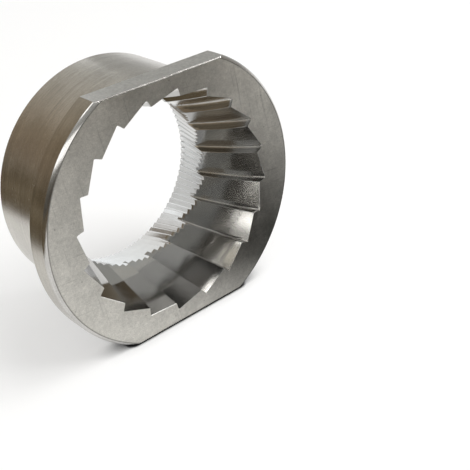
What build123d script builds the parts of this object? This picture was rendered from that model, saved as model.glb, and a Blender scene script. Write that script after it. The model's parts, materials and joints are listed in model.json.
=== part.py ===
# Ring burr of a conical coffee grinder, one piece of turned, milled and ground steel.
# It stands as it rests on a table: on the back edge of its lower flat and the rim of its barrel.
# Millimetres, +Z up, +X along the flats, the toothed mouth facing -Y.
# Origin: the centre of the bounding box's base.
import os
from math import atan2, cos, radians, sin

from build123d import *

# Turned blank, with a slightly crowned bevel round the flange's front edge
flange_diameter = 96.0
flange_thickness = 7.8
flange_bevel = 1.0
bevel_crown = 0.08
barrel_diameter = 80.0
barrel_chamfer = 0.5
overall_length = 39.5

# Two parallel flats milled on the flange, which stop the burr turning in its carrier
across_flats = 83.4

# Coarse saw teeth, cut from the mouth inwards on a narrowing, slightly bowed cone.
# Angles are in degrees, and a twist rate is degrees for each millimetre of depth.
coarse_teeth = 20
mouth_diameter = 69.6
coarse_tooth_depth = 2.6
coarse_step_angle = 1.65
coarse_twist_rate = 0.27
coarse_root_flat = 0.8
cone_bow = 0.2
first_coarse_tip_angle = 243.3

# Fine saw teeth, cut from the back on a cone that meets the coarse one at the throat
fine_teeth = 96
throat_diameter = 56.6
throat_depth = 22.5
outlet_diameter = 65.0
fine_tooth_depth = 0.65
fine_step_angle = 0.5
fine_twist_rate = 0.17

# How far a cutter passes the blank's faces
cutter_overrun = 1.0

# Sections that carry the bow of the coarse cone
coarse_sections = 4

# The burr leans back until the barrel's rim touches the table.
flange_radius = flange_diameter / 2
flat_height = across_flats / 2
barrel_radius = barrel_diameter / 2
rim_depth = overall_length - barrel_chamfer
lean = atan2(flat_height - barrel_radius, rim_depth - flange_thickness)

# Front plane of the flange: x along the flats, y downwards, z along the axis towards the back
front_y = ((flat_height - barrel_radius + barrel_chamfer) * sin(lean) - overall_length * cos(lean)) / 2
front_z = flat_height * cos(lean) + flange_thickness * sin(lean)
front = Plane(
    origin=(0, front_y, front_z),
    x_dir=(1, 0, 0),
    z_dir=(0, cos(lean), -sin(lean)),
)


def coarse_tip_radius(depth):
    """Radius of the coarse tips: a cone from mouth to throat, bowed towards the axis between them."""
    share = depth / throat_depth
    straight = (mouth_diameter + (throat_diameter - mouth_diameter) * share) / 2
    parabola = share * (1 - share) / 0.25
    return straight - cone_bow * parabola


def fine_tip_radius(depth):
    """Radius of the fine tips: a straight cone from throat to outlet."""
    share = (depth - throat_depth) / (overall_length - throat_depth)
    return (throat_diameter + (outlet_diameter - throat_diameter) * share) / 2


def polar(radius, angle):
    """Point of a section at an angle in degrees."""
    return Vector(radius * cos(radians(angle)), radius * sin(radians(angle)))


def coarse_section(depth):
    """Outline of the coarse cutters at one depth: a ramp, a narrow root flat and a short step per tooth."""
    tip_radius = coarse_tip_radius(depth)
    pitch = 360 / coarse_teeth
    turn = first_coarse_tip_angle + coarse_twist_rate * depth
    with BuildSketch(front.offset(depth)) as section:
        with BuildLine():
            for tooth in range(coarse_teeth):
                tip = polar(tip_radius, turn + tooth * pitch)
                root = polar(tip_radius + coarse_tooth_depth, turn + (tooth + 1) * pitch - coarse_step_angle)
                next_tip = polar(tip_radius, turn + (tooth + 1) * pitch)
                half_corner = radians((tip - root).get_angle(next_tip - root)) / 2
                setback = coarse_root_flat / 2 / sin(half_corner)
                flat_start = root + (tip - root).normalized() * setback
                flat_end = root + (next_tip - root).normalized() * setback
                Polyline(tip, flat_start, flat_end, next_tip)
        make_face()
    return section.sketch


def fine_section(depth):
    """Outline of the fine cutters at one depth: a ramp and a short step per tooth."""
    tip_radius = fine_tip_radius(depth)
    pitch = 360 / fine_teeth
    turn = fine_twist_rate * depth
    corners = []
    for tooth in range(fine_teeth):
        corners.append(polar(tip_radius, turn + tooth * pitch))
        corners.append(polar(tip_radius + fine_tooth_depth, turn + (tooth + 1) * pitch - fine_step_angle))
    with BuildSketch(front.offset(depth)) as section:
        with BuildLine():
            Polyline(*corners, close=True)
        make_face()
    return section.sketch


first_section = -cutter_overrun
last_section = overall_length + cutter_overrun
section_spacing = (last_section - first_section) / (coarse_sections - 1)
coarse_depths = [first_section + section_spacing * number for number in range(coarse_sections)]

with BuildPart() as ring_burr:
    side = Plane(origin=front.origin, x_dir=front.x_dir, z_dir=-front.y_dir)
    with BuildSketch(side):
        with BuildLine():
            Line((0, 0), (flange_radius - flange_bevel, 0))
            SagittaArc((flange_radius - flange_bevel, 0), (flange_radius, flange_bevel), -bevel_crown)
            Polyline(
                (flange_radius, flange_bevel),
                (flange_radius, flange_thickness),
                (barrel_radius, flange_thickness),
                (barrel_radius, rim_depth),
                (barrel_radius - barrel_chamfer, overall_length),
                (0, overall_length),
                (0, 0),
            )
        make_face()
    revolve(axis=Axis(front.origin, front.z_dir))
    with BuildSketch(front):
        Rectangle(flange_diameter, across_flats)
    extrude(amount=overall_length, mode=Mode.INTERSECT)
    loft([coarse_section(depth) for depth in coarse_depths], mode=Mode.SUBTRACT)
    loft([fine_section(depth) for depth in (first_section, last_section)], ruled=True, mode=Mode.SUBTRACT)

ring_burr.part.label = "ring_burr"
os.makedirs("parts", exist_ok=True)
export_step(ring_burr.part, "parts/ring_burr.step")
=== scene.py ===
# Looks of a coffee grinder's ring burr: one machined steel ring on a pale studio floor.
# Lengths are in metres, and sizes written in millimetres are multiplied by MM.
# The ring's own coordinates: across (along the flats), down, and depth along its axis from the mouth.
from collections import namedtuple
from math import radians

import bpy
import numpy as np
from mathutils import Euler, Matrix, Vector
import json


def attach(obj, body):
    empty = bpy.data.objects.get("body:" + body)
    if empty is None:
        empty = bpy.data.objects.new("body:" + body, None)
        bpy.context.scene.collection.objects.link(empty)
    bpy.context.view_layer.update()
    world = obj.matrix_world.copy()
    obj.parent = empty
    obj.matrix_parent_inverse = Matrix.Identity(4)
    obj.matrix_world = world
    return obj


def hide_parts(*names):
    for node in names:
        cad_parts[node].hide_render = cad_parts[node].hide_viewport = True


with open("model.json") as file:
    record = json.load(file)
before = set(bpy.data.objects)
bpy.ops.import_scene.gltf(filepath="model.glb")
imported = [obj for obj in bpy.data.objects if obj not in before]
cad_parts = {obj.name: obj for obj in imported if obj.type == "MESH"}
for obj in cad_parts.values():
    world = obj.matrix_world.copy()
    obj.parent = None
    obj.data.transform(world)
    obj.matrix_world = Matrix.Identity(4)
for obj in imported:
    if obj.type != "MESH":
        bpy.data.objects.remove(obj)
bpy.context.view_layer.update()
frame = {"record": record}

MM = 0.001
WHITE = (1, 1, 1, 1)
# Too small to matter, as a length in millimetres or as a divisor
TINY = 0.001

# Sizes of the ring, in millimetres and degrees, as in the solid
FLANGE_RADIUS = 48.0
FLANGE_THICKNESS = 7.8
BEVEL = 1.0
BEVEL_CROWN = 0.08
FLAT_HEIGHT = 41.7
BARREL_RADIUS = 40.0
BARREL_CHAMFER = 0.5
LENGTH = 39.5

COARSE_TEETH = 20
MOUTH_RADIUS = 34.8
COARSE_DEPTH = 2.6
COARSE_STEP = 1.65
COARSE_TWIST = 0.27
CONE_BOW = 0.2
FIRST_TIP = 243.3

FINE_TEETH = 96
THROAT_RADIUS = 28.3
THROAT_DEPTH = 22.5
OUTLET_RADIUS = 32.5
FINE_DEPTH = 0.65
FINE_STEP = 0.5
FINE_TWIST = 0.17

# How softly the cuts meet: the range in which two surfaces blend, in millimetres of radius
GULLET_BLEND = 0.85
TIP_BLEND = 0.25
FINE_GULLET_BLEND = 0.2
FINE_TIP_BLEND = 0.12
THROAT_BLEND = 0.2

# The band along each coarse gullet, paler by a painted highlight and duller as if rubbed: how far it
# reaches to each side of its middle, and how far this lies from the root, in degrees round the bore
HIGHLIGHT_AND_WEAR_REACH = 0.6
HIGHLIGHT_AND_WEAR_SHIFT = 0.05

# Breaks left where an edge was only touched with a stone
MOUTH_BREAK = 0.06
FLAT_BREAK = 0.26
OUTLET_BREAK = 0.15
RIM_BREAK = 0.15

# The miller's feed marks on the flats, which bead their front edges: their spacing, how much of the
# break they bite away, and the columns of points to each of them
FEED_PITCH = 0.7
FEED_BITE = 0.85
FEED_COLUMNS = 4

# Where the bore has columns of points, in degrees from each tip and from each root. Of two columns
# that are too close one is left out, and a gap that is too wide is divided into parts.
COARSE_TIP_COLUMNS = (-0.22, -0.1, 0, 0.1, 0.22)
COARSE_ROOT_COLUMNS = (-0.9, -0.65, -0.4, -0.2, 0, 0.2, 0.4, 0.65, 0.9)
FINE_TIP_COLUMNS = (-0.08, 0, 0.1)
FINE_ROOT_COLUMNS = (-0.25, 0, 0.1)
CLOSEST_COLUMNS = 0.02
WIDEST_GAP = 0.55
GAP_PARTS = 4

# Where it has rows of points: in proportion between the mouth and COARSE_END millimetres before the
# cuts meet, at distances from their meeting in millimetres, and at shares of the way on to the outlet
COARSE_ROWS = (0, 0.06, 0.16, 0.28, 0.4, 0.52, 0.64, 0.76, 0.87)
COARSE_END = 1.2
MEETING_ROWS = (-0.8, -0.3, -0.1, 0, 0.1, 0.3, 0.8)
FINE_ROWS = (0.2, 0.42, 0.66, 0.86, 1)

# Where the outside has rows, as shares of the way along each stretch
OUTLET_ROWS = (0, 0.3, 0.6, 0.85, 1)
BARREL_ROWS = (0, 0.33, 0.66, 1)
SHOULDER_ROWS = (0.5, 1)
RIM_ROWS = (0, 0.5, 1)
BEVEL_ROWS = (0.88, 0.7, 0.5, 0.3, 0.12, 0)
FACE_ROWS = (0.25, 0.5, 0.75, 1)

# How often the search for the depth where the cuts meet halves its range
HALVINGS = 40

# An edge that turns by more than this, in degrees, stays crisp in the shading
SHARP_ANGLE = 24

# Colours of bare steel: plain, and as each zone has it
STEEL = (0.55, 0.54, 0.52)
BARREL_STEEL = (0.545, 0.524, 0.484)
RIM_STEEL = (0.485, 0.462, 0.416)
FACE_STEEL = (0.585, 0.57, 0.528)
BORE_STEEL = (0.483, 0.477, 0.462)
# The fine cut's cooler tint is painted cool light from behind the ring
FINE_STEEL_PAINTED_COOL = (0.474, 0.477, 0.472)

# The depths in millimetres between which the colour of the coarse cut gives way to that of the fine one,
# whose cooler tint is painted cool light from behind the ring
PAINTED_COOL_START = (21.0, 24.0)

# The mouth face: the radii between which a painted shade darkens its outer edge, the place towards
# which it grows darker and the distances from there between which this fades, all in millimetres
FACE_EDGE_PAINTED_SHADE = (46.5, 46.85)
FACE_DARKENING_PLACE = (3.0, -40.0)
FACE_DARKENING_REACH = (9.0, 30.0)

# Its pits: their spacing in millimetres, and the shares of this between which a pit ends
PIT_SPACING = 4.2
PIT_REACH = (0.03, 0.09)

# Its scratches, short and bright or long and dark: turn in degrees, spacing and length in
# millimetres, and the height above which a crest of the noise shows. A scratch is full SCRATCH_EDGE
# above that height.
SHORT_SCRATCHES = ((64, 0.35, 14, 0.70), (12, 0.3, 9, 0.72))
LONG_SCRATCHES = ((82, 0.6, 45, 0.64), (5, 0.5, 25, 0.66))
SCRATCH_EDGE = 0.06

# The floor: half its side, how light its matte part is, the matte part's share of what the eye and
# mirrors see at the ring, and the distances between which this share fades to nothing
FLOOR_SIZE = 3.0
FLOOR_LIGHTNESS = 0.9
MATTE_SHARE = 0.5
FLOOR_FADE = (0.15, 0.8)

# Its contact shadows, wide and narrow: how far a point looks round itself, and the shares of open
# surroundings between which its light comes back
CONTACTS = (
    (0.011, (0.0, 0.75)),
    (0.0015, (0.4, 0.85)),
)
CONTACT_SAMPLES = 8

# The pale sheet on the floor, which only the steel tells from the brown table. It begins past its
# left edge or its back edge, each given by the turn of the line that crosses it, in degrees clockwise
# from east, and the distances along this line over which it fades in. Its front edge is given by
# distances north of the ring.
SHEET_TURN = 26.6
SHEET_LEFT = (-0.127, -0.103)
SHEET_BACK_TURN = -28.0
SHEET_BACK = (0.010, 0.034)
SHEET_FRONT = (-0.27, -0.20)

# In front of the ring a painted shade dims the sheet to the right: where the front ends, the turn of the
# line along which the light falls off, where it does so, and the share that is left
DIM_FRONT = (-0.03, 0.02)
DIM_TURN = 5.0
DIMMING = (-0.05, 0.17)
DIM_SHARE = 0.30

# Painted shadows on the sheet, beside the mouth and behind the ring: place, the distances from there
# between which the light comes back, and its share at the place
PAINTED_SHADOW_SPOTS = (
    ((0.06, -0.065), (0.03, 0.095), 0.15),
    ((0.014, 0.032), (0.014, 0.034), 0.3),
)

# The table past the sheet, and a paler strip of it: the turn of the line across the strip, the
# distances from its middle between which it fades, and where along it the strip begins
TABLE_BROWN = (0.14, 0.108, 0.066)
TABLE_PALE = (0.32, 0.27, 0.20)
STRIP_TURN = -57
STRIP_ACROSS = (0.07, 0.14)
STRIP_ALONG = (0.23, 0.33)

# The dark card beside the mouth: its place, the radius and height of each ring of points, the points
# to a ring, and its surface
CARD_PLACE = (0.045, -0.065)
CARD_PROFILE = ((0.033, 0.0), (0.031, 0.004), (0.019, 0.028), (0.017, 0.034))
CARD_SIDES = 48
CARD_BLACK = (0.012, 0.012, 0.01, 1)
CARD_ROUGHNESS = 0.8
CARD_GLOSS = 0.1

# The photograph's viewpoint, from the fit of the ring's outline: lens and sensor in millimetres, turn
# in degrees
CAMERA_LENS = 69.64
CAMERA_SENSOR = 36.0
CAMERA_PLACE = (-0.14716, -0.21683, 0.18474)
CAMERA_TURN = (57.7152, 2.3909, -42.2434)

# The point that all lamps face, before they stand aside
LAMP_AIM = (0, 0, 0.04)

# The room's light by elevation in degrees: on its brown left, in front, and on the side of the pale
# sweep
ROOM_LEVELS = [
    (-90, (0.09, 0.065, 0.03)),
    (-5, (0.11, 0.08, 0.04)),
    (2, (0.19, 0.15, 0.10)),
    (10, (0.27, 0.21, 0.15)),
    (22, (0.28, 0.22, 0.15)),
    (35, (0.42, 0.36, 0.28)),
    (60, (0.42, 0.40, 0.37)),
    (90, (0.6, 0.6, 0.58)),
]
FRONT_LEVELS = [
    (-90, (0.09, 0.08, 0.065)),
    (8, (0.10, 0.09, 0.075)),
    (18, (0.2, 0.19, 0.17)),
    (60, (0.5, 0.5, 0.48)),
    (90, (0.6, 0.6, 0.58)),
]
SWEEP_LEVELS = [
    (-90, (0.9, 0.9, 0.88)),
    (-8, (0.85, 0.85, 0.84)),
    (2, (0.60, 0.60, 0.59)),
    (10, (0.47, 0.47, 0.46)),
    (20, (0.43, 0.43, 0.41)),
    (35, (0.60, 0.59, 0.55)),
    (90, (0.6, 0.6, 0.58)),
]
# How much of the sweep and of the front shows at each azimuth in degrees: 0 is in front and 90 to the
# right
SWEEP_SHARES = [(-180, 0.5), (-168, 0.15), (-158, 0), (60, 0), (100, 1), (150, 1), (180, 0.5)]
FRONT_SHARES = [(-180, 0), (-138, 0), (-124, 0.5), (-90, 1), (60, 1), (100, 0), (180, 0)]

# One row of points round the ring: arrays of angle in degrees, radius, depth and share of the band of
# painted highlight along the gullets, and the zone that it ends
Row = namedtuple("Row", "angle radius depth zone wear")


def ring_axes():
    """The ring's place from the part's mounts: the mouth's centre, and its across, down and depth
    directions."""
    mounts = {mount["name"]: mount for mount in frame["record"]["mounts"]}
    depth = Vector(mounts["barrel_seat"]["axis"]).normalized()
    down = Vector(mounts["lower_flat"]["axis"]).normalized()
    across = down.cross(depth)
    seat = Vector(mounts["barrel_seat"]["pos_m"])
    face = Vector(mounts["mouth_face"]["pos_m"])
    centre = seat + depth * (face - seat).dot(depth)
    return centre, across, down, depth


def between(start, end, share):
    """The value that lies a share of the way from start to end."""
    return start + (end - start) * share


def line_radius(start, end, span, turn):
    """Polar radius, at an angle in degrees, of the straight line between two radii that are span
    degrees apart. It is start * end * sin(span) / (start * sin(turn) + end * sin(span - turn))."""
    turn = np.radians(turn)
    span = np.radians(span)
    below = start * np.sin(turn) + end * np.sin(span - turn)
    return start * end * np.sin(span) / np.maximum(below, TINY)


def soft_min(first, second, blend):
    """The smaller of two arrays, with a parabolic round where they differ by less than blend."""
    overlap = np.maximum(blend - np.abs(first - second), 0)
    return np.minimum(first, second) - overlap ** 2 / (4 * blend)


def soft_max(first, second, blend):
    """The larger of two arrays, with a parabolic round where they differ by less than blend."""
    return -soft_min(-first, -second, blend)


def saw_radius(tip, tooth_depth, pitch, step, phase, gullet_blend, tip_blend):
    """Radius of a saw-toothed bore: from each tip a straight ramp leads out to the root, and a short
    straight step leads back in to the next tip. Roots and tips are rounded where the lines meet."""
    phase = np.mod(phase, pitch)
    ramp_span = pitch - step
    root = tip + tooth_depth
    ramp = line_radius(tip, root, ramp_span, phase)
    step_line = line_radius(root, tip, step, phase - ramp_span)
    radius = soft_min(ramp, step_line, gullet_blend)
    step_before = line_radius(root, tip, step, phase + step)
    ramp_after = line_radius(tip, root, ramp_span, phase - pitch)
    radius = np.where(phase < pitch / 2, soft_max(radius, step_before, tip_blend), radius)
    return np.where(phase > pitch / 2, soft_max(radius, ramp_after, tip_blend), radius)


def coarse_radius(phase, depth):
    """Radius of the coarse cut: the tip cone narrows from mouth to throat and bows inwards by a
    parabola."""
    share = depth / THROAT_DEPTH
    tip = between(MOUTH_RADIUS, THROAT_RADIUS, share) - 4 * CONE_BOW * share * (1 - share)
    pitch = 360 / COARSE_TEETH
    return saw_radius(tip, COARSE_DEPTH, pitch, COARSE_STEP, phase, GULLET_BLEND, TIP_BLEND)


def fine_radius(phase, depth):
    """Radius of the fine cut: its tip cone widens in a straight line from throat to outlet."""
    tip = between(THROAT_RADIUS, OUTLET_RADIUS, (depth - THROAT_DEPTH) / (LENGTH - THROAT_DEPTH))
    pitch = 360 / FINE_TEETH
    return saw_radius(tip, FINE_DEPTH, pitch, FINE_STEP, phase, FINE_GULLET_BLEND, FINE_TIP_BLEND)


def coarse_to_fine(phase, depth):
    """Phase against the fine teeth of a point given by its phase against the coarse teeth."""
    return phase + FIRST_TIP + (COARSE_TWIST - FINE_TWIST) * depth


def meeting_depth(phase, is_fine):
    """Depth at which the coarse cut has narrowed to the fine cut, found by halving the ring's length.
    A column keeps its phase against the coarse teeth or, where is_fine holds, against the fine ones."""
    low = np.zeros_like(phase)
    high = np.full_like(phase, LENGTH)
    for _ in range(HALVINGS):
        middle = (low + high) / 2
        lag = coarse_to_fine(0, middle)
        coarse_phase = np.where(is_fine, phase - lag, phase)
        fine_phase = np.where(is_fine, phase, phase + lag)
        wider = coarse_radius(coarse_phase, middle) > fine_radius(fine_phase, middle)
        low = np.where(wider, middle, low)
        high = np.where(wider, high, middle)
    return (low + high) / 2


def tooth_columns(teeth, step, tip_columns, root_columns):
    """Phases in degrees of the columns round every tip and every root of a cut, once round the ring."""
    pitch = 360 / teeth
    columns = np.concatenate([tip_columns, pitch - step + np.array(root_columns)])
    return (np.arange(teeth)[:, None] * pitch + columns).ravel()


def flat_angles():
    """Angles in degrees of the columns that the flats need: at their corners, on the rim and on the
    bevel's inner edge, and at even steps along them."""
    radii = (FLANGE_RADIUS, FLANGE_RADIUS - BEVEL)
    corners = [np.degrees(np.arcsin(FLAT_HEIGHT / radius)) for radius in radii]
    corners = [side + sign * corner for side in (0, 180) for sign in (-1, 1) for corner in corners]
    half_flat = np.sqrt(FLANGE_RADIUS ** 2 - FLAT_HEIGHT ** 2)
    steps = np.arange(-half_flat, half_flat, FEED_PITCH / FEED_COLUMNS)
    marks = np.degrees(np.arctan2(FLAT_HEIGHT, steps))
    return np.concatenate([corners, marks, -marks])


def bore_columns():
    """The bore's columns: their phases against the coarse cut and the depth where the cuts meet.
    Every tip, root and rounding of both cuts has columns of its own, and wide gaps are filled."""
    coarse = tooth_columns(COARSE_TEETH, COARSE_STEP, COARSE_TIP_COLUMNS, COARSE_ROOT_COLUMNS)
    fine = tooth_columns(FINE_TEETH, FINE_STEP, FINE_TIP_COLUMNS, FINE_ROOT_COLUMNS)
    depth_at_fine = meeting_depth(fine, np.full(fine.shape, True))
    fine_as_coarse = fine - coarse_to_fine(0, depth_at_fine)
    phases = np.concatenate([coarse, fine_as_coarse, flat_angles() - FIRST_TIP])
    phases = np.sort(np.mod(phases, 360))
    phases = phases[np.mod(phases - np.roll(phases, 1), 360) > CLOSEST_COLUMNS]
    gaps = np.mod(np.roll(phases, -1) - phases, 360)
    wide = gaps > WIDEST_GAP
    filled = [phases]
    for part in range(1, GAP_PARTS):
        filled.append(np.mod(phases[wide] + gaps[wide] * part / GAP_PARTS, 360))
    phases = np.sort(np.concatenate(filled))
    return phases, meeting_depth(phases, np.full(phases.shape, False))


def bore_rows(phases, meeting):
    """The bore as arrays of angle, radius and depth, one row for each step from mouth to outlet.
    Before the meeting depth a column keeps its coarse phase, and after it its fine phase."""
    coarse_end = meeting - COARSE_END
    fine_start = meeting + MEETING_ROWS[-1]
    depths = [between(MOUTH_BREAK, coarse_end, share / COARSE_ROWS[-1]) for share in COARSE_ROWS]
    depths += [meeting + offset for offset in MEETING_ROWS]
    depths += [between(fine_start, LENGTH - OUTLET_BREAK, share) for share in FINE_ROWS]
    depth = np.stack(depths)
    coarse_angle = phases + FIRST_TIP + COARSE_TWIST * depth
    fine_angle = coarse_to_fine(phases, meeting) + FINE_TWIST * depth
    angle = np.where(depth > meeting, fine_angle, coarse_angle)
    coarse = coarse_radius(angle - FIRST_TIP - COARSE_TWIST * depth, depth)
    fine = fine_radius(angle - FINE_TWIST * depth, depth)
    return angle, soft_max(coarse, fine, THROAT_BLEND), depth


def gullet_highlight_and_wear(phases, meeting, depth):
    """How strong the band along the gullets is at each column and depth, which is paler by a painted
    highlight and duller as if rubbed: 1 along the bottom of a coarse gullet, fading to 0 within its reach
    in degrees, and 0 past the depth where the fine cut begins."""
    pitch = 360 / COARSE_TEETH
    away = np.abs(np.mod(phases, pitch) - (pitch - COARSE_STEP + HIGHLIGHT_AND_WEAR_SHIFT))
    return np.clip(1 - away / HIGHLIGHT_AND_WEAR_REACH, 0, 1) * (depth < meeting)


def ring_rows():
    """The whole skin as a closed loop of rows: bore, outlet face, barrel, shoulder, rim, bevel and
    mouth face. A flat cuts the flange off at FLAT_HEIGHT / |sin(angle)|, and there the bevel shrinks to
    a small break."""
    phases, meeting = bore_columns()
    angle, radius, depth = bore_rows(phases, meeting)
    wear = gullet_highlight_and_wear(phases, meeting, depth)
    rows = [Row(angle[row], radius[row], depth[row], "bore", wear[row]) for row in range(len(depth))]
    front_angle = phases + FIRST_TIP
    back_angle = angle[-1]
    flat_limit = FLAT_HEIGHT / np.maximum(np.abs(np.sin(np.radians(front_angle))), TINY)
    rim = np.minimum(FLANGE_RADIUS, flat_limit)
    across = rim * np.cos(np.radians(front_angle))
    feed_marks = FLAT_BREAK * (1 + FEED_BITE * np.cos(2 * np.pi * across / FEED_PITCH))
    bevel = np.clip(rim - (FLANGE_RADIUS - BEVEL), feed_marks, BEVEL)
    crown = BEVEL_CROWN * bevel / BEVEL
    ones = np.ones_like(phases)

    def add(zone, radius_here, depth_here, angle_here=front_angle):
        rows.append(Row(angle_here * ones, radius_here * ones, depth_here * ones, zone, 0 * ones))

    outlet = radius[-1] + OUTLET_BREAK
    for share in OUTLET_ROWS:
        radius_here = between(outlet, BARREL_RADIUS - BARREL_CHAMFER, share)
        add("outlet_face", radius_here, LENGTH, between(back_angle, front_angle, share))
    for share in BARREL_ROWS:
        add("barrel", BARREL_RADIUS, between(LENGTH - BARREL_CHAMFER, FLANGE_THICKNESS, share))
    for share in SHOULDER_ROWS:
        add("shoulder", between(BARREL_RADIUS, rim - RIM_BREAK, share), FLANGE_THICKNESS)
    for share in RIM_ROWS:
        add("rim", rim, between(FLANGE_THICKNESS - RIM_BREAK, bevel, share))
    for share in BEVEL_ROWS:
        bulge = crown * 4 * share * (1 - share) / np.sqrt(2)
        add("bevel", rim - bevel * (1 - share) + bulge, bevel * share - bulge)
    for share in FACE_ROWS:
        add("mouth_face", between(rim - bevel, radius[0] + MOUTH_BREAK, share), 0)
    return rows


def grid_faces(row_count, column_count, bands):
    """The quads of a grid with closed rows, in bands from each row to the next. As many bands as rows
    close the grid into a loop, and one fewer leaves it open."""
    row, column = np.meshgrid(np.arange(bands), np.arange(column_count), indexing="ij")
    next_row = (row + 1) % row_count
    next_column = (column + 1) % column_count
    corners = [(row, column), (next_row, column), (next_row, next_column), (row, next_column)]
    numbers = [corner_row * column_count + corner_column for corner_row, corner_column in corners]
    return np.stack(numbers, axis=-1).reshape(-1, len(corners))


def grid_mesh(name, rows, materials):
    """A mesh from a closed loop of closed rows. Each quad takes the material of the row that it leads
    to, and one of the rim's that lies on a flat takes the flat's."""
    centre, across, down, depth_axis = ring_axes()
    angle = np.radians(np.stack([row.angle for row in rows]))
    radius = np.stack([row.radius for row in rows]) * MM
    depth = np.stack([row.depth for row in rows]) * MM
    local = np.stack([radius * np.cos(angle), radius * np.sin(angle), depth], axis=-1)
    points = np.array(centre) + local @ np.array([across, down, depth_axis])
    row_count, column_count = angle.shape
    faces = grid_faces(row_count, column_count, row_count)
    face_count, corner_count = faces.shape
    mesh = bpy.data.meshes.new(name)
    mesh.vertices.add(row_count * column_count)
    mesh.vertices.foreach_set("co", points.ravel())
    mesh.loops.add(faces.size)
    mesh.loops.foreach_set("vertex_index", faces.ravel())
    mesh.polygons.add(face_count)
    mesh.polygons.foreach_set("loop_start", np.arange(0, faces.size, corner_count))
    mesh.polygons.foreach_set("loop_total", np.full(face_count, corner_count))
    mesh.update(calc_edges=True)
    slots = list(materials)
    zones = [rows[(number + 1) % row_count].zone for number in range(row_count)]
    slot_of_face = np.repeat([slots.index(zone) for zone in zones], column_count)
    height = np.abs((points - np.array(centre)) @ np.array(down)) / MM
    on_flat = (np.minimum(height, np.roll(height, -1, axis=1)) > FLAT_HEIGHT - TINY).ravel()
    on_rim = slot_of_face == slots.index("rim")
    slot_of_face = np.where(on_flat & on_rim, slots.index("flat"), slot_of_face)
    mesh.polygons.foreach_set("material_index", slot_of_face)
    # The gullet band of painted highlight goes to the shader as a point attribute
    wear = mesh.attributes.new("gullet_highlight_and_wear", "FLOAT", "POINT")
    wear.data.foreach_set("value", np.stack([row.wear for row in rows]).ravel())
    for zone in slots:
        mesh.materials.append(materials[zone])
    return mesh


def add_object(name, data):
    """An object of the scene with the given mesh, lamp or camera."""
    added = bpy.data.objects.new(name, data)
    bpy.context.scene.collection.objects.link(added)
    return added


def put(tree, socket, value):
    """Links a socket to another one, or gives it a plain value."""
    if isinstance(value, bpy.types.NodeSocket):
        tree.links.new(value, socket)
    else:
        socket.default_value = value


def add_node(tree, kind, settings=None, **inputs):
    """A shader node. Each input, named with _ for a space, is a plain value or another node's socket."""
    node = tree.nodes.new(kind)
    for name, value in (settings or {}).items():
        setattr(node, name, value)
    for name, value in inputs.items():
        put(tree, node.inputs[name.replace("_", " ")], value)
    return node


def calculate(tree, operation, *values):
    """A math node's result, from numbers or sockets."""
    node = tree.nodes.new("ShaderNodeMath")
    node.operation = operation
    for socket, value in zip(node.inputs, values):
        put(tree, socket, value)
    return node.outputs[0]


def multiply(tree, first, second):
    """The product of two sockets or numbers."""
    return calculate(tree, "MULTIPLY", first, second)


def rest(tree, value):
    """What a value leaves of 1."""
    return calculate(tree, "SUBTRACT", 1.0, value)


def weigh(tree, base, *parts):
    """A base value plus, for each (pattern, weight) part, the pattern times its weight."""
    total = base
    for pattern, weight in parts:
        total = calculate(tree, "MULTIPLY_ADD", pattern, weight, total)
    return total


def remap(tree, value, low, high, new_low, new_high):
    """A value's range from low to high, smoothly brought to new_low to new_high and kept inside it."""
    node = add_node(tree, "ShaderNodeMapRange", {"interpolation_type": "SMOOTHSTEP"}, Value=value,
                    From_Min=low, From_Max=high, To_Min=new_low, To_Max=new_high)
    return node.outputs["Result"]


def distance_from(tree, point, place):
    """Distance of a point, as a vector socket, from a plain place at height 0."""
    node = add_node(tree, "ShaderNodeVectorMath", {"operation": "DISTANCE"}, Vector=point)
    node.inputs[1].default_value = (*place, 0)
    return node.outputs["Value"]


def turned_side(tree, first, second, turn):
    """How far a point lies along a line that is turned clockwise from its first coordinate by an angle in
    degrees: first * cos(turn) - second * sin(turn)."""
    return calculate(tree, "SUBTRACT", multiply(tree, first, np.cos(radians(turn))),
                     multiply(tree, second, np.sin(radians(turn))))


def mix_colours(tree, share, first, second):
    """A colour that goes from first to second, both sockets or plain colours, as share goes from 0 to 1.
    The node keeps its colours in inputs 6 and 7 and gives the mixed one in output 2."""
    mix = add_node(tree, "ShaderNodeMix", {"data_type": "RGBA"})
    put(tree, mix.inputs[0], share)
    put(tree, mix.inputs[6], first)
    put(tree, mix.inputs[7], second)
    return mix.outputs[2]


def mix_shaders(tree, share, first, second):
    """A shader that goes from first to second, both sockets, as share goes from 0 to 1."""
    mix = add_node(tree, "ShaderNodeMixShader", Fac=share)
    tree.links.new(first, mix.inputs[1])
    tree.links.new(second, mix.inputs[2])
    return mix.outputs[0]


def scaled_vector(tree, point, sizes):
    """A vector from three coordinates, sockets or numbers, each divided by a size of its own."""
    x, y, z = (calculate(tree, "DIVIDE", value, size) for value, size in zip(point, sizes))
    return add_node(tree, "ShaderNodeCombineXYZ", X=x, Y=y, Z=z).outputs[0]


def noise(tree, point, sizes, detail=2.0):
    """Cloudy noise from 0 to 1, with features of about the given size along each of three coordinates."""
    vector = scaled_vector(tree, point, sizes)
    return add_node(tree, "ShaderNodeTexNoise", Vector=vector, Scale=1.0, Detail=detail).outputs["Fac"]


def lines_along(tree, position, sides, spacing, waver, detail=2.0):
    """Noise drawn out into lines: it changes every spacing millimetres of position, and every waver
    millimetres along the lines, which are given by two more coordinates."""
    return noise(tree, (position, *sides), (spacing, waver, waver), detail)


def mottling(tree, point, size):
    """Soft blotches of the given size in millimetres."""
    return noise(tree, point, (size, size, size), detail=3.0)


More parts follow.
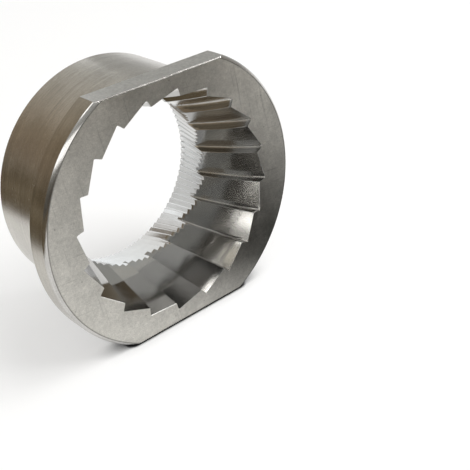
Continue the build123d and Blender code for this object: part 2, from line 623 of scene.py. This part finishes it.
def scratches(tree, x, y, turn, spacing, length, crest):
    """Thin straight scratches from 0 to 1, turned by an angle in degrees: lines of noise, of which only
    what is higher than the crest stays. The turn also picks a part of the noise of its own."""
    along = turned_side(tree, x, y, -turn)
    beside = turned_side(tree, y, x, turn)
    lines = noise(tree, (beside, along, turn), (spacing, length, 1.0))
    return remap(tree, lines, crest, crest + SCRATCH_EDGE, 0.0, 1.0)


def raise_bumps(tree, height, size, below=None):
    """A normal from a height between 0 and 1, which stands for the given size in millimetres."""
    inputs = {"Height": height, "Distance": size * MM, "Strength": 1.0}
    if below is not None:
        inputs["Normal"] = below
    return add_node(tree, "ShaderNodeBump", **inputs).outputs[0]


def shade(tree, colour, *layers):
    """A colour multiplied, for each (pattern, low, high) layer, by a share that goes from low to high
    as the pattern goes from 0 to 1."""
    for pattern, low, high in layers:
        share = add_node(tree, "ShaderNodeMapRange", Value=pattern, To_Min=low, To_Max=high)
        scaled = add_node(tree, "ShaderNodeVectorMath", {"operation": "SCALE"}, Vector=colour,
                          Scale=share.outputs["Result"])
        colour = scaled.outputs[0]
    return colour


def ring_coordinates(tree):
    """Sockets of the ring's own coordinates in millimetres: the point across, down and in depth, its
    radius, and its angle in radians."""
    centre, across, down, depth = ring_axes()
    turn = Matrix((across, down, depth)).transposed().to_euler("XYZ")
    place = add_node(tree, "ShaderNodeTexCoord").outputs["Object"]
    mapping = add_node(tree, "ShaderNodeMapping", {"vector_type": "TEXTURE"}, Vector=place,
                       Location=centre, Rotation=turn, Scale=(MM, MM, MM))
    x, y, z = add_node(tree, "ShaderNodeSeparateXYZ", Vector=mapping.outputs[0]).outputs
    squares = calculate(tree, "ADD", multiply(tree, x, x), multiply(tree, y, y))
    radius = calculate(tree, "SQRT", squares)
    angle = calculate(tree, "ARCTAN2", y, x)
    return (x, y, z), radius, angle


def start_material(name):
    """A new material, its node tree and its standard shader."""
    material = bpy.data.materials.new(name)
    material.use_nodes = True
    tree = material.node_tree
    return material, tree, tree.nodes["Principled BSDF"]


def start_steel(name):
    """A metal with its node tree and shader, and the ring's coordinates for its pattern."""
    material, tree, shader = start_material(name)
    shader.inputs["Metallic"].default_value = 1
    return material, tree, shader, *ring_coordinates(tree)


def finish_steel(tree, shader, colour, roughness, normal):
    """Puts a pattern's colour, roughness and normal into the shader."""
    put(tree, shader.inputs["Base Color"], colour)
    put(tree, shader.inputs["Roughness"], roughness)
    put(tree, shader.inputs["Normal"], normal)


def turned_steel(name, lines_over, tint, smoothest, line_height):
    """Steel off the lathe: lines round the axis, spaced over the depth or the radius, with soft stains.
    It is given by its tint, its least roughness and the height of its lines in millimetres."""
    material, tree, shader, point, radius, _ = start_steel(name)
    x, y, z = point
    position = {"depth": z, "radius": radius}[lines_over]
    fine = lines_along(tree, position, (x, y), spacing=0.3, waver=30.0, detail=3.0)
    broad = lines_along(tree, position, (x, y), spacing=2.2, waver=40.0)
    stains = mottling(tree, point, size=9.0)
    grain = mottling(tree, point, size=0.5)
    colour = shade(tree, tint, (stains, 0.82, 1.18), (broad, 0.87, 1.13))
    colour = shade(tree, colour, (fine, 0.76, 1.24), (grain, 0.76, 1.24))
    roughness = weigh(tree, smoothest, (fine, 0.08), (stains, 0.14))
    finish_steel(tree, shader, colour, roughness, raise_bumps(tree, fine, line_height))
    return material


def grinding_direction(tree):
    """The direction of the ring's axis, along which the wheel ground each tooth."""
    depth = ring_axes()[3]
    along = add_node(tree, "ShaderNodeCombineXYZ", X=depth.x, Y=depth.y, Z=depth.z)
    turned = add_node(tree, "ShaderNodeVectorTransform", {"convert_from": "OBJECT", "convert_to": "WORLD"},
                      Vector=along.outputs[0])
    return turned.outputs[0]


def ground_steel(name):
    """The cut bore: glossy, with faint lines left along each tooth by the grinding wheel, and along the
    bottoms of its gullets paler by a painted highlight and duller as if rubbed. Its arc is a point's way
    round the mouth, with the twist undone."""
    material, tree, shader, point, radius, angle = start_steel(name)
    depth = point[2]
    untwisted = calculate(tree, "SUBTRACT", angle, multiply(tree, depth, radians(COARSE_TWIST)))
    arc = multiply(tree, untwisted, MOUTH_RADIUS)
    along = noise(tree, (arc, depth, radius), sizes=(0.22, 12.0, 1.0))
    across = noise(tree, (arc, depth, 0.0), sizes=(9.0, 0.9, 1.0))
    stains = mottling(tree, point, size=5.0)
    highlight_and_wear_band = add_node(tree, "ShaderNodeAttribute", {"attribute_name": "gullet_highlight_and_wear"}).outputs["Fac"]
    # Towards the outlet the colour takes the fine cut's cooler tint, painted cool light from behind
    cut = mix_colours(tree, remap(tree, depth, *PAINTED_COOL_START, 0.0, 1.0), (*BORE_STEEL, 1), (*FINE_STEEL_PAINTED_COOL, 1))
    # Doubling the colour along the gullet bottoms is a painted highlight
    colour = shade(tree, cut, (stains, 0.92, 1.08), (highlight_and_wear_band, 1.0, 2.0))
    roughness = weigh(tree, 0.045, (along, 0.05), (stains, 0.05), (highlight_and_wear_band, 0.16))
    shader.inputs["Anisotropic"].default_value = 1.0
    shader.inputs["Anisotropic Rotation"].default_value = 0.25
    tree.links.new(grinding_direction(tree), shader.inputs["Tangent"])
    lines = raise_bumps(tree, along, size=0.0012)
    finish_steel(tree, shader, colour, roughness, raise_bumps(tree, across, size=0.0025, below=lines))
    return material


def lapped_steel(name):
    """The mouth face: satin, faintly ringed by the lathe, with clouded stains, pits and fine scratches,
    darker towards its top, and with a painted shade along its outer edge."""
    material, tree, shader, point, radius, _ = start_steel(name)
    x, y, _ = point
    rings = lines_along(tree, radius, (x, y), spacing=0.35, waver=25.0, detail=3.0)
    clouds = mottling(tree, point, size=7.0)
    specks = mottling(tree, point, size=1.3)
    grain = mottling(tree, point, size=0.45)
    marks = calculate(tree, "MAXIMUM", *[scratches(tree, x, y, *way) for way in SHORT_SCRATCHES])
    long_marks = calculate(tree, "MAXIMUM", *[scratches(tree, x, y, *way) for way in LONG_SCRATCHES])
    spot = add_node(tree, "ShaderNodeCombineXYZ", X=x, Y=y).outputs[0]
    # The face's colour grows darker towards its top
    top_darkening = remap(tree, distance_from(tree, spot, FACE_DARKENING_PLACE), *FACE_DARKENING_REACH, 1.0, 0.0)
    # A painted shade darkens the face's outer edge
    edge = remap(tree, radius, *FACE_EDGE_PAINTED_SHADE, 0.0, 1.0)
    cells = scaled_vector(tree, (x, y, 0.0), (PIT_SPACING, PIT_SPACING, 1.0))
    from_pit = add_node(tree, "ShaderNodeTexVoronoi", Vector=cells, Scale=1.0).outputs["Distance"]
    pits = remap(tree, from_pit, *PIT_REACH, 1.0, 0.0)
    colour = shade(tree, FACE_STEEL, (clouds, 0.74, 1.24), (specks, 0.76, 1.24), (grain, 0.7, 1.3))
    colour = shade(tree, colour, (marks, 1.0, 1.12), (long_marks, 1.0, 0.8))
    colour = shade(tree, colour, (top_darkening, 1.0, 0.7), (edge, 1.0, 0.45), (pits, 1.0, 0.6))
    roughness = weigh(tree, 0.27, (clouds, 0.12), (specks, 0.1))
    ringed = raise_bumps(tree, rings, size=0.003)
    scored = raise_bumps(tree, marks, size=0.002, below=ringed)
    finish_steel(tree, shader, colour, roughness, raise_bumps(tree, specks, size=0.006, below=scored))
    return material


def milled_steel(name):
    """The flats: feed marks of the milling cutter, crossed by finer scratches along the flat."""
    material, tree, shader, point, _, _ = start_steel(name)
    x, y, z = point
    wave = calculate(tree, "COSINE", multiply(tree, x, 2 * np.pi / FEED_PITCH))
    crossing = lines_along(tree, z, (x, y), spacing=0.25, waver=6.0)
    stains = mottling(tree, point, size=7.0)
    grain = mottling(tree, point, size=0.9)
    colour = shade(tree, STEEL, (stains, 0.9, 1.08), (grain, 0.66, 1.34))
    roughness = weigh(tree, 0.22, (stains, 0.12), (crossing, 0.06))
    feed = raise_bumps(tree, wave, size=0.0012)
    finish_steel(tree, shader, colour, roughness, raise_bumps(tree, crossing, size=0.003, below=feed))
    return material


def make_ring():
    """The ring burr, in place of its plainer solid."""
    materials = {
        "bore": ground_steel("cut_steel"),
        "outlet_face": turned_steel("outlet_steel", "radius", STEEL, smoothest=0.23, line_height=0.003),
        "barrel": turned_steel("barrel_steel", "depth", BARREL_STEEL, smoothest=0.13, line_height=0.0016),
        "shoulder": turned_steel("shoulder_steel", "radius", STEEL, smoothest=0.23, line_height=0.003),
        "rim": turned_steel("rim_steel", "depth", RIM_STEEL, smoothest=0.13, line_height=0.0016),
        "flat": milled_steel("flat_steel"),
        "bevel": turned_steel("bevel_steel", "radius", STEEL, smoothest=0.06, line_height=0.001),
        "mouth_face": lapped_steel("face_steel"),
    }
    mesh = grid_mesh("ring_burr_skin", ring_rows(), materials)
    mesh.polygons.foreach_set("use_smooth", np.full(len(mesh.polygons), True))
    mesh.set_sharp_from_angle(angle=radians(SHARP_ANGLE))
    ring = add_object("ring_burr_skin", mesh)
    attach(ring, "root")
    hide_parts("ring_burr")


def floor_openness(tree):
    """How open a point of the floor is to the room: less near the ring, and least right under its
    edges."""
    shares = []
    for reach, open_range in CONTACTS:
        look = add_node(tree, "ShaderNodeAmbientOcclusion", {"samples": CONTACT_SAMPLES}, Distance=reach)
        shares.append(remap(tree, look.outputs["AO"], *open_range, 0.0, 1.0))
    return multiply(tree, *shares)


def sheet_share(tree, east, north):
    """How much of a point of the floor is the pale sheet: 1 past its left or its back edge, unless the
    point lies in front of its front edge."""
    past_left = remap(tree, turned_side(tree, east, north, SHEET_TURN), *SHEET_LEFT, 0.0, 1.0)
    past_back = remap(tree, turned_side(tree, east, north, SHEET_BACK_TURN), *SHEET_BACK, 0.0, 1.0)
    past_front = remap(tree, north, *SHEET_FRONT, 0.0, 1.0)
    return multiply(tree, calculate(tree, "MAXIMUM", past_left, past_back), past_front)


def sheet_light(tree, place, east, north):
    """How light the sheet is at a point: 1, less to the right in front of the ring by a painted shade, and
    less in its painted shadows."""
    in_front = remap(tree, north, *DIM_FRONT, 1.0, 0.0)
    to_the_right = remap(tree, turned_side(tree, east, north, DIM_TURN), *DIMMING, 0.0, 1.0 - DIM_SHARE)
    light = rest(tree, multiply(tree, to_the_right, in_front))
    for spot, fade, share in PAINTED_SHADOW_SPOTS:
        light = multiply(tree, light, remap(tree, distance_from(tree, place, spot), *fade, share, 1.0))
    return light


def table_colour(tree, east, north):
    """The table's brown, with a paler strip."""
    from_middle = calculate(tree, "ABSOLUTE", turned_side(tree, east, north, STRIP_TURN))
    on_strip = remap(tree, from_middle, *STRIP_ACROSS, 1.0, 0.0)
    along = turned_side(tree, east, north, STRIP_TURN - 90)
    strip = multiply(tree, on_strip, remap(tree, along, *STRIP_ALONG, 0.0, 1.0))
    return mix_colours(tree, strip, (*TABLE_BROWN, 1), (*TABLE_PALE, 1))


def make_floor():
    """A wide pale floor. Mirrors also see a brown table past the edges of the sheet that the ring
    stands on."""
    mesh = bpy.data.meshes.new("studio_floor")
    quarters = ((-1, -1), (1, -1), (1, 1), (-1, 1))
    corners = [(FLOOR_SIZE * east, FLOOR_SIZE * north, 0) for east, north in quarters]
    mesh.from_pydata(corners, [], [(0, 1, 2, 3)])
    floor = add_object("studio_floor", mesh)
    material, tree, _ = start_material("floor_white")
    mesh.materials.append(material)
    tree.nodes.clear()
    place = add_node(tree, "ShaderNodeTexCoord").outputs["Object"]
    east, north, _ = add_node(tree, "ShaderNodeSeparateXYZ", Vector=place).outputs
    path = add_node(tree, "ShaderNodeLightPath")
    in_mirror = path.outputs["Is Glossy Ray"]
    seen = calculate(tree, "MAXIMUM", path.outputs["Is Camera Ray"], in_mirror)
    # Openness paints contact shadows into the floor's matte colour and its glow
    openness = floor_openness(tree)
    # Only the steel sees the sheet's painted shade and shadows
    lightness = rest(tree, multiply(tree, rest(tree, sheet_light(tree, place, east, north)), in_mirror))
    matte = add_node(tree, "ShaderNodeBsdfDiffuse", Color=multiply(tree, openness, FLOOR_LIGHTNESS))
    glow = add_node(tree, "ShaderNodeEmission", Color=WHITE, Strength=multiply(tree, openness, lightness))
    near_ring = remap(tree, distance_from(tree, place, (0, 0)), *FLOOR_FADE, MATTE_SHARE, 0.0)
    glow_share = rest(tree, multiply(tree, lightness, near_ring))
    half_lit = mix_shaders(tree, glow_share, matte.outputs[0], glow.outputs[0])
    pale = mix_shaders(tree, seen, matte.outputs[0], half_lit)
    brown = add_node(tree, "ShaderNodeEmission", Color=table_colour(tree, east, north), Strength=1.0)
    off_sheet = multiply(tree, rest(tree, sheet_share(tree, east, north)), in_mirror)
    whole = mix_shaders(tree, off_sheet, pale, brown.outputs[0])
    add_node(tree, "ShaderNodeOutputMaterial", Surface=whole)


def make_dark_card():
    """A rolled dark card beside the mouth, seen only in the steel: a round tube with a radius for each
    height, open at both ends."""
    radius, height = np.array(CARD_PROFILE).T[:, :, None]
    turn = np.linspace(0, 2 * np.pi, CARD_SIDES, endpoint=False)
    east = CARD_PLACE[0] + radius * np.cos(turn)
    north = CARD_PLACE[1] + radius * np.sin(turn)
    points = np.stack([east, north, height + 0 * turn], axis=-1).reshape(-1, 3)
    faces = grid_faces(len(CARD_PROFILE), CARD_SIDES, len(CARD_PROFILE) - 1)
    outward_faces = faces[:, ::-1]
    mesh = bpy.data.meshes.new("dark_card")
    mesh.from_pydata(points.tolist(), [], outward_faces.tolist())
    card = add_object("dark_card", mesh)
    material, tree, shader = start_material("card_black")
    shader.inputs["Base Color"].default_value = CARD_BLACK
    shader.inputs["Roughness"].default_value = CARD_ROUGHNESS
    shader.inputs["Specular IOR Level"].default_value = CARD_GLOSS
    mesh.materials.append(material)
    card.visible_camera = False
    card.visible_diffuse = False
    card.visible_shadow = False


def make_camera():
    """The photograph's viewpoint."""
    data = bpy.data.cameras.new("studio_camera")
    data.lens = CAMERA_LENS
    data.sensor_width = CAMERA_SENSOR
    camera = add_object("studio_camera", data)
    camera.location = CAMERA_PLACE
    camera.rotation_euler = Euler([radians(angle) for angle in CAMERA_TURN], "XYZ")
    bpy.context.scene.camera = camera


def make_ramp(tree, stops, factor):
    """A colour ramp with the given (position, colour) stops, driven by a socket."""
    node = tree.nodes.new("ShaderNodeValToRGB")
    elements = node.color_ramp.elements
    for position, colour in stops[1:-1]:
        elements.new(position)
    for element, (position, colour) in zip(elements, stops):
        element.position = position
        element.color = (*colour, 1)
    tree.links.new(factor, node.inputs["Fac"])
    return node.outputs["Color"]


def height_stops(levels):
    """Ramp stops from (elevation in degrees, colour) pairs, at (sin(elevation) + 1) / 2."""
    return [((np.sin(radians(elevation)) + 1) / 2, colour) for elevation, colour in levels]


def azimuth_stops(shares):
    """Ramp stops from (azimuth in degrees, share) pairs, at (azimuth + 180) / 360."""
    return [((azimuth + 180) / 360, (share, share, share)) for azimuth, share in shares]


def make_world():
    """The room round the table: brown and dim on the left, a pale sweep behind and on the right, and
    plain white to the eye."""
    world = bpy.data.worlds.new("studio_world")
    bpy.context.scene.world = world
    world.use_nodes = True
    tree = world.node_tree
    direction = add_node(tree, "ShaderNodeTexCoord").outputs["Generated"]
    east, north, height = add_node(tree, "ShaderNodeSeparateXYZ", Vector=direction).outputs
    rise = calculate(tree, "MULTIPLY_ADD", height, 0.5, 0.5)
    turn = calculate(tree, "ARCTAN2", east, multiply(tree, north, -1.0))
    around = calculate(tree, "MULTIPLY_ADD", turn, 0.5 / np.pi, 0.5)
    light = make_ramp(tree, height_stops(ROOM_LEVELS), rise)
    for levels, shares in ((FRONT_LEVELS, FRONT_SHARES), (SWEEP_LEVELS, SWEEP_SHARES)):
        share = make_ramp(tree, azimuth_stops(shares), around)
        light = mix_colours(tree, share, light, make_ramp(tree, height_stops(levels), rise))
    room = tree.nodes["Background"]
    tree.links.new(light, room.inputs["Color"])
    plain = add_node(tree, "ShaderNodeBackground", Color=WHITE)
    to_eye = add_node(tree, "ShaderNodeLightPath").outputs["Is Camera Ray"]
    seen = mix_shaders(tree, to_eye, room.outputs[0], plain.outputs[0])
    tree.links.new(seen, tree.nodes["World Output"].inputs["Surface"])


def make_lamp(name, azimuth, elevation, distance, width, height, radiance, colour=(1.0, 1.0, 1.0), lean=0,
              aside=0, only_mirrored=False):
    """A soft rectangle of light that faces the ring, placed by its direction from the ring in degrees.
    It may lean to one side, in degrees, and stand aside along its own width, in metres. One that is
    only mirrored shows in the steel and leaves the floor alone."""
    data = bpy.data.lights.new(name, "AREA")
    data.shape = "RECTANGLE"
    data.size = width
    data.size_y = height
    data.energy = radiance * np.pi * width * height
    data.color = colour
    turn, rise = radians(azimuth), radians(elevation)
    outwards = Vector((np.sin(turn) * np.cos(rise), -np.cos(turn) * np.cos(rise), np.sin(rise)))
    facing = outwards.to_track_quat("Z", "Y") @ Euler((0, 0, radians(lean))).to_quaternion()
    lamp = add_object(name, data)
    lamp.location = Vector(LAMP_AIM) + outwards * distance + facing @ Vector((aside, 0, 0))
    lamp.rotation_euler = facing.to_euler()
    lamp.visible_camera = False
    lamp.visible_diffuse = not only_mirrored


make_camera()
make_ring()
make_floor()
make_dark_card()
make_world()
make_lamp("high_window", azimuth=55, elevation=60, distance=1.0, width=0.415, height=0.7, radiance=6.0,
          aside=0.1425)
make_lamp("high_pane", azimuth=55, elevation=60, distance=1.0, width=0.245, height=0.7, radiance=6.0,
          aside=-0.2275)
make_lamp("side_window", azimuth=53.6, elevation=-1.3, distance=0.45, width=0.068, height=0.08,
          radiance=10.5, only_mirrored=True)
make_lamp("side_pane", azimuth=75, elevation=3, distance=0.35, width=0.04, height=0.12, radiance=3.8,
          only_mirrored=True)
make_lamp("side_blind", azimuth=55.7, elevation=32, distance=0.49, width=0.035, height=0.16, radiance=1.6,
          colour=(1.0, 0.93, 0.8), only_mirrored=True)
make_lamp("side_slat", azimuth=60.5, elevation=31, distance=0.49, width=0.012, height=0.16, radiance=1.8,
          colour=(1.0, 0.97, 0.9), only_mirrored=True)
make_lamp("back_panel", azimuth=172, elevation=8, distance=0.8, width=0.58, height=0.38, radiance=1.15,
          colour=(0.94, 0.97, 1.0))
make_lamp("low_panel", azimuth=-167, elevation=-1.9, distance=0.305, width=0.085, height=0.06, radiance=1.0,
          colour=(0.94, 0.97, 1.0))
make_lamp("left_window", azimuth=-48, elevation=34.5, distance=0.7, width=0.74, height=0.19, radiance=1.8,
          lean=-11)
make_lamp("ceiling_light", azimuth=-70, elevation=69, distance=1.0, width=0.28, height=0.3, radiance=2.2)
bpy.context.scene.view_settings.view_transform = "Standard"
